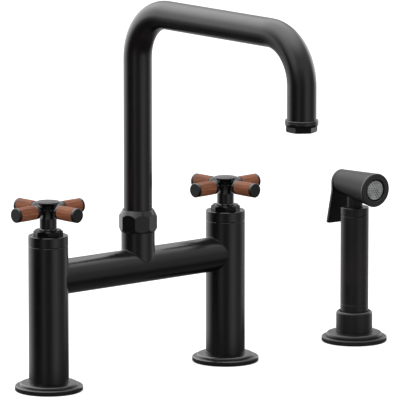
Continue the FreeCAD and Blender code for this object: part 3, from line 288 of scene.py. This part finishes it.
# Deck seals: moulded rubber rings between flange and counter, and under each mounting nut.
# Matt black rubber with a dusty bloom and faint moulding ripples.
def soft_rubber(name):
    finish, tree, spot = blank_finish(name)
    bloom = mottled(tree, spot, scale=120.0, detail=5.0, roughness=0.65)
    pores = mottled(tree, spot, scale=1900.0, detail=2.0, roughness=0.6)
    shade = shaded(tree, bloom, [(0.35, (0.0154, 0.0154, 0.01584)), (0.75, (0.0374, 0.03696, 0.0352))])
    matt = graded(tree, bloom, 0.3, 0.7, 0.72, 0.86)
    surfaced(tree, shade, matt, raised_by(tree, pores, 0.25, 0.0002), {"Specular IOR Level": 0.35})
    return finish


rubber = soft_rubber("black_rubber")
dress(["deck_gaskets", "shank_rubber_washers", "spray_rubber_washer"], rubber)


# Shanks and mounting nuts: turned brass, left bare because they sit below the counter. The
# shanks carry a rolled thread, and the turned faces keep fine tool rings.
BRASS = (0.62, 0.44, 0.19)
TARNISHED = tuple(part * 0.62 for part in BRASS)


def turned_brass(name, axis, pitch=0.0, paired=False):
    """Brass from the lathe; axis is where the centre line stands, pitch its thread. Paired pieces
    stand at the same distance on both sides of the middle."""
    finish, tree, spot = blank_finish(name)
    place = spot
    if paired:
        both = add(tree, "ShaderNodeSeparateXYZ", {0: spot})
        out = worked(tree, "ABSOLUTE", both.outputs["X"])
        place = add(tree, "ShaderNodeCombineXYZ",
                    {0: out, 1: both.outputs["Y"], 2: both.outputs["Z"]}).outputs[0]
    local = add(tree, "ShaderNodeMapping", {"Vector": place, "Location": axis},
                vector_type="TEXTURE").outputs[0]
    tarnish = mottled(tree, spot, scale=60.0, detail=6.0, roughness=0.6)
    flat = add(tree, "ShaderNodeMapping", {"Vector": local, "Scale": (60.0, 60.0, 5200.0)}).outputs[0]
    shade = shaded(tree, tarnish, [(0.3, TARNISHED), (0.62, BRASS)])
    sheen = graded(tree, tarnish, 0.3, 0.7, 0.34, 0.22)
    relief = raised_by(tree, mottled(tree, flat, scale=1.0, detail=2.0), 0.2, 0.0001)
    if pitch:
        part = add(tree, "ShaderNodeSeparateXYZ", {0: local})
        spin = worked(tree, "ARCTAN2", part.outputs["Y"], part.outputs["X"])
        climb = worked(tree, "MULTIPLY_ADD", part.outputs["Z"], 2 * math.pi / pitch, spin)
        relief = raised_by(tree, worked(tree, "SINE", climb), 0.9, pitch * 0.22, relief)
    surfaced(tree, shade, sheen, relief, {"Metallic": 1.0})
    return finish


HALF_SPACING = 0.1016
SPRAY_PLACE = (0.2524, -0.0054, 0.0)
COLUMN_AXIS = (HALF_SPACING, 0, 0)
SHANK_PITCH = 0.0018
dress(["supply_shanks"], turned_brass("shank_brass", COLUMN_AXIS, SHANK_PITCH, paired=True))
dress(["spray_shank"], turned_brass("spray_shank_brass", SPRAY_PLACE, SHANK_PITCH))
dress(["shank_nuts"], turned_brass("nut_brass", COLUMN_AXIS, paired=True))
dress(["spray_mounting_nut"], turned_brass("spray_nut_brass", SPRAY_PLACE))


# Steel washers: punched stainless rings that spread each nut's load. Brushed in one direction,
# with a few darker handling marks.
def brushed_steel(name):
    finish, tree, spot = blank_finish(name)
    drawn = add(tree, "ShaderNodeMapping", {"Vector": spot, "Scale": (900.0, 26.0, 900.0)}).outputs[0]
    lines = mottled(tree, drawn, scale=1.6, detail=3.0)
    marks = mottled(tree, spot, scale=90.0, detail=4.0)
    shade = shaded(tree, marks, [(0.3, (0.40, 0.40, 0.408)), (0.7, (0.50, 0.50, 0.51))])
    sheen = graded(tree, lines, 0.3, 0.7, 0.24, 0.38)
    surfaced(tree, shade, sheen, raised_by(tree, lines, 0.25, 0.00005), {"Metallic": 1.0})
    return finish


dress(["shank_steel_washers", "spray_steel_washer"], brushed_steel("washer_steel"))


# Columns: two machined brass pillars, each with a separate top collar where the valve screws in.
# The same satin black coat as the flanges, a shade cleaner.
dress(["left_column", "right_column", "left_column_collar", "right_column_collar"],
      satin_black("column_black", edge=0.00005, worn=0.06))


# Valves: quarter-turn cartridges inside the columns, with a brass body, a rubber seat ring, two
# lapped ceramic discs and a brass spindle that ends in splines.
def lapped_ceramic(name):
    finish, tree, spot = blank_finish(name)
    fired = mottled(tree, spot, scale=700.0, detail=4.0)
    shade = shaded(tree, fired, [(0.35, (0.78, 0.77, 0.73)), (0.65, (0.86, 0.85, 0.82))])
    sheen = graded(tree, fired, 0.3, 0.7, 0.16, 0.26)
    surfaced(tree, shade, sheen, raised_by(tree, fired, 0.06, 0.0001))
    return finish


CARTRIDGE_PITCH = 0.001
dress(["cartridge_bodies"], turned_brass("cartridge_brass", COLUMN_AXIS, CARTRIDGE_PITCH, paired=True))
dress(["cartridge_seals"], rubber)
dress(["cartridge_fixed_discs", "left_moving_disc", "right_moving_disc"], lapped_ceramic("lapped_ceramic"))
dress(["left_spindle", "right_spindle"], turned_brass("spindle_brass", COLUMN_AXIS, paired=True))


# Bonnet nuts: low octagon nuts that lock the cartridges into the collars. Their corners are
# turned off to a narrow cone, and their black coat shines less than the columns'.
NUT_FOOT, NUT_TOP = 0.1392, 0.1443
NUT_CORNER, NUT_CROWN, NUT_HOLE = 0.0132, 0.0114, 0.0046
NUT_SIDES, NUT_TURN = 8, math.radians(6.0)
SIDE_CUTS = 7
CONE_SLOPE, CROWN_EDGE = 0.80, 0.0001


def finished(name, mesh, material, body, smooth=False):
    """Closes a bmesh into a named piece that rides on a body."""
    bmesh.ops.recalc_face_normals(mesh, faces=mesh.faces)
    data = bpy.data.meshes.new(name)
    mesh.to_mesh(data)
    mesh.free()
    data.materials.append(material)
    for face in data.polygons:
        face.use_smooth = smooth
    piece = bpy.data.objects.new(name, data)
    bpy.context.scene.collection.objects.link(piece)
    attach(piece, body)
    return piece


def rim_edges(mesh, ring):
    inside = set(ring)
    return [e for e in mesh.edges if e.verts[0] in inside and e.verts[1] in inside]


def pulled_up(mesh, edges):
    """Extrudes a loop of edges; gives the new corners and the new loop."""
    grown = bmesh.ops.extrude_edge_only(mesh, edges=edges)["geom"]
    corners = [v for v in grown if isinstance(v, bmesh.types.BMVert)]
    return corners, rim_edges(mesh, corners)


nuts = bmesh.new()
for side_x in (-HALF_SPACING, HALF_SPACING):
    foot = bmesh.ops.create_circle(nuts, segments=NUT_SIDES, radius=NUT_CORNER, cap_ends=False)["verts"]
    bmesh.ops.rotate(nuts, verts=foot, cent=(0, 0, 0), matrix=Matrix.Rotation(NUT_TURN, 3, "Z"))
    bmesh.ops.subdivide_edges(nuts, edges=rim_edges(nuts, foot), cuts=SIDE_CUTS)
    foot = [v for v in nuts.verts if v.co.z < NUT_FOOT / 2]
    skirt, rim = pulled_up(nuts, rim_edges(nuts, foot))
    for v in skirt:
        v.co.z = NUT_TOP - NUT_FOOT - max(0.0, v.co.xy.length - NUT_CROWN) * CONE_SLOPE - CROWN_EDGE
    for radius, level in ((NUT_CROWN, NUT_TOP), (NUT_HOLE, NUT_TOP), (NUT_HOLE, NUT_FOOT)):
        ring, rim = pulled_up(nuts, rim)
        for v in ring:
            v.co.xy = v.co.xy.normalized() * radius
            v.co.z = level - NUT_FOOT
    bmesh.ops.bridge_loops(nuts, edges=rim + rim_edges(nuts, foot))
    fresh = [v for v in nuts.verts if v.co.z < NUT_FOOT / 2]
    bmesh.ops.translate(nuts, verts=fresh, vec=(side_x, 0, NUT_FOOT))
bonnet_black = satin_black("bonnet_black", tone=0.0020, gloss=0.26, shine=0.14, edge=0.00004, worn=0.05)
bonnet = finished("bonnet_nuts_turned", nuts, bonnet_black, "faucet_body")
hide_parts("bonnet_nuts")


# Handle hubs: one turned spool each with four trumpet necks, closed by a flat cap over the
# socket screw. Coated black; the cap's seam shows as a fine ring.
dress(["left_handle_hub", "right_handle_hub", "left_handle_cap", "right_handle_cap"],
      satin_black("hub_black", gloss=0.26))
dress(["left_handle_screw", "right_handle_screw"], brushed_steel("screw_steel"))


# Handle sleeves: four short barrels of red-brown hardwood on each cross, turned along the grain
# and oiled. The grain runs out along each arm, so the arms differ.
ARM_TURN = math.radians(4.5)
ARM_HEIGHT = 0.1614
WOOD = [(0.30, (0.110, 0.030, 0.012)), (0.45, (0.170, 0.053, 0.023)), (0.57, (0.225, 0.077, 0.036)),
        (0.72, (0.290, 0.110, 0.056))]
BAND_SCALE, FIBRE_SCALE = (26.0, 330.0, 330.0), (110.0, 1900.0, 1900.0)


def oiled_wood(name, x):
    """Wood for the cross at x; u, v and w are distances along its arms and up."""
    finish, tree, spot = blank_finish(name)
    cross_place = {"Vector": spot, "Location": (x, 0, ARM_HEIGHT), "Rotation": (0, 0, ARM_TURN)}
    local = add(tree, "ShaderNodeMapping", cross_place, vector_type="TEXTURE").outputs[0]
    part = add(tree, "ShaderNodeSeparateXYZ", {0: local})
    u, v, w = part.outputs["X"], part.outputs["Y"], part.outputs["Z"]
    out_u, out_v = worked(tree, "ABSOLUTE", u), worked(tree, "ABSOLUTE", v)
    along = worked(tree, "MAXIMUM", out_u, out_v)
    on_v = worked(tree, "GREATER_THAN", out_v, out_u)
    across = add(tree, "ShaderNodeMix", {0: on_v, 2: v, 3: u}).outputs[0]
    sign = worked(tree, "SIGN", worked(tree, "MULTIPLY_ADD", u, 3.0, v))
    arm = worked(tree, "MULTIPLY_ADD", on_v, 2.0, sign)
    lane = worked(tree, "ADD", across, worked(tree, "MULTIPLY", arm, 0.37))
    grain_way = add(tree, "ShaderNodeCombineXYZ", {0: along, 1: lane, 2: w}).outputs[0]
    long_way = add(tree, "ShaderNodeMapping", {"Vector": grain_way, "Scale": BAND_SCALE}).outputs[0]
    fine_way = add(tree, "ShaderNodeMapping", {"Vector": grain_way, "Scale": FIBRE_SCALE}).outputs[0]
    bands = mottled(tree, long_way, scale=1.0, detail=5.0, roughness=0.62, distortion=0.6)
    fibres = mottled(tree, fine_way, scale=1.0, detail=3.0, roughness=0.7)
    pores = graded(tree, fibres, 0.36, 0.52, 0.55, 1.0)
    colour = mixed(tree, 1.0, shaded(tree, bands, WOOD), pores, "MULTIPLY")
    sheen = graded(tree, fibres, 0.3, 0.7, 0.62, 0.50)
    surfaced(tree, colour, sheen, raised_by(tree, fibres, 0.25, 0.0002), {"Specular IOR Level": 0.22})
    return finish


dress(["left_handle_sleeves"], oiled_wood("left_wood", -HALF_SPACING))
dress(["right_handle_sleeves"], oiled_wood("right_wood", HALF_SPACING))


# Arm end caps: shallow turned discs screwed on the arm studs to hold the wood, coated black with
# a rounded rim.
dress(["left_handle_end_caps", "right_handle_end_caps"], satin_black("end_cap_black", gloss=0.24))


# Bridge and spout stub: the cross tube soldered to both columns, and the stub on its middle that
# carries the spout. One coat over both.
bridge_black = satin_black("bridge_black")
dress(["bridge_tube", "spout_stub"], bridge_black)


# Solder seams: the thin fillets round the bridge ends and the stub's foot, where silver solder
# was drawn into the joints before coating.
BRIDGE_HEIGHT, BRIDGE_RADIUS = 0.1000, 0.0156
COLUMN_RADIUS, STUB_RADIUS = 0.01775, 0.0150
SEAM, SEAM_SIDES, SEAM_STEPS = 0.00045, 10, 96


def solder_ring(mesh, radius):
    """A thin ring round the upright axis, to be laid on a tube."""
    bead = bmesh.ops.create_circle(mesh, segments=SEAM_SIDES, radius=SEAM, cap_ends=False)["verts"]
    bmesh.ops.rotate(mesh, verts=bead, cent=(0, 0, 0), matrix=Matrix.Rotation(math.pi / 2, 3, "X"))
    bmesh.ops.translate(mesh, verts=bead, vec=(radius, 0, 0))
    bmesh.ops.spin(mesh, geom=rim_edges(mesh, bead) + bead, cent=(0, 0, 0), axis=(0, 0, 1),
                   angle=2 * math.pi, steps=SEAM_STEPS, use_merge=True)


def tube_reach(tube_radius, round_radius, turn):
    """How far out a tube's wall stands where a round of another radius meets it."""
    return math.sqrt(tube_radius ** 2 - (round_radius * math.sin(turn)) ** 2)


seams = bmesh.new()
solder_ring(seams, STUB_RADIUS)
for v in seams.verts:
    v.co.z += BRIDGE_HEIGHT + tube_reach(BRIDGE_RADIUS, STUB_RADIUS, math.atan2(v.co.y, v.co.x))
for way in (-1, 1):
    end = bmesh.new()
    solder_ring(end, BRIDGE_RADIUS)
    for v in end.verts:
        reach = HALF_SPACING - tube_reach(COLUMN_RADIUS, BRIDGE_RADIUS, math.atan2(v.co.y, v.co.x))
        v.co = (way * (reach + v.co.z), v.co.y, BRIDGE_HEIGHT + v.co.x)
    loose = bpy.data.meshes.new("one_end")
    end.to_mesh(loose)
    end.free()
    seams.from_mesh(loose)
    bpy.data.meshes.remove(loose)
finished("solder_seams", seams, bridge_black, "faucet_body", smooth=True)


# Spout bearing and seals: a white plastic slide ring, a brass spigot under the spout and two
# rubber rings in its grooves.
def moulded_plastic(name, dark, light, rough=0.45):
    finish, tree, spot = blank_finish(name)
    flow = mottled(tree, spot, scale=150.0, detail=3.0)
    fine = mottled(tree, spot, scale=1500.0, detail=2.0)
    satin = graded(tree, fine, 0.3, 0.7, rough - 0.04, rough + 0.05)
    shade = shaded(tree, flow, [(0.35, dark), (0.65, light)])
    surfaced(tree, shade, satin, raised_by(tree, fine, 0.12, 0.0001))
    return finish


dress(["spout_bearing"], moulded_plastic("white_slide_ring", (0.72, 0.72, 0.69), (0.80, 0.80, 0.77)))
dress(["spout_bushing"], turned_brass("bushing_brass", (0, 0, 0)))
dress(["spout_o_rings"], rubber)


# Spout nut: a tall eight-sided nut whose corners are turned off in scallops. It screws on the
# stub and lets the spout swivel.
dress(["spout_nut"], satin_black("spout_nut_black"))


# Spout: one-inch brass tube, bent twice in a square arch with long even bends. It is polished
# and coated black.
dress(["spout_tube"], satin_black("spout_black", tone=0.0036, gloss=0.24, warm=0.35))


# Outlet: a collar soldered on the spout's end and a six-sided housing screwed into it. The
# housing holds a plastic aerator screen on a rubber washer.
dress(["outlet_collar"], satin_black("outlet_black", edge=0.00005, worn=0.06))
dress(["aerator_housing"], satin_black("housing_black", tone=0.0022, gloss=0.28, shine=0.26, edge=0.00004,
                                       worn=0.05))
dress(["aerator_screen"], moulded_plastic("grey_screen", (0.30, 0.31, 0.32), (0.40, 0.41, 0.42)))
dress(["aerator_washer"], rubber)


# Spray holder: a bevelled black cup on its own flange, lined with plastic so that the spray
# lifts out without scratching. The brass hose end sits inside it.
spray_black = satin_black("spray_black", tone=0.0085, gloss=0.36, shine=0.30, edge=0.00005, worn=0.05,
                          warm=0.15)
dress(["spray_holder", "spray_base_flange"], spray_black)
dress(["spray_liner"], moulded_plastic("liner_plastic", (0.010, 0.010, 0.010), (0.016, 0.016, 0.016), 0.5))
dress(["hose_connector"], turned_brass("connector_brass", SPRAY_PLACE))


# Spray grip: a coated tube between two rings, with a short neck up to the head. The neck's coat
# is duller than the grip's.
dress(["spray_lower_ring", "spray_grip", "spray_upper_ring"], spray_black)
dress(["spray_neck"], satin_black("spray_neck_black", tone=0.0120, gloss=0.40, shine=0.16, edge=0.00004,
                                  worn=0.04, warm=0.15))


# Spray head: a tapered barrel that droops a little towards the face, with a rounded back. A
# coated ring holds the grey plastic face with its holes.
dress(["spray_face_ring"], satin_black("face_ring_black", tone=0.0125, gloss=0.36, shine=0.4, warm=0.15))
dress(["spray_head"], satin_black("spray_head_black", tone=0.0095, gloss=0.38, shine=0.15, warm=0.06))
dress(["spray_face"], moulded_plastic("spray_face_grey", (0.15, 0.155, 0.155), (0.27, 0.275, 0.275), 0.55))


# Spray lever: a bent coated plate on a steel pin behind the head. Squeezed, it pushes the steel
# valve stem.
dress(["spray_trigger"], satin_black("lever_black", tone=0.0055, gloss=0.36, shine=0.4, grain=0.12))
dress(["trigger_pin", "valve_stem"], brushed_steel("pin_steel"))
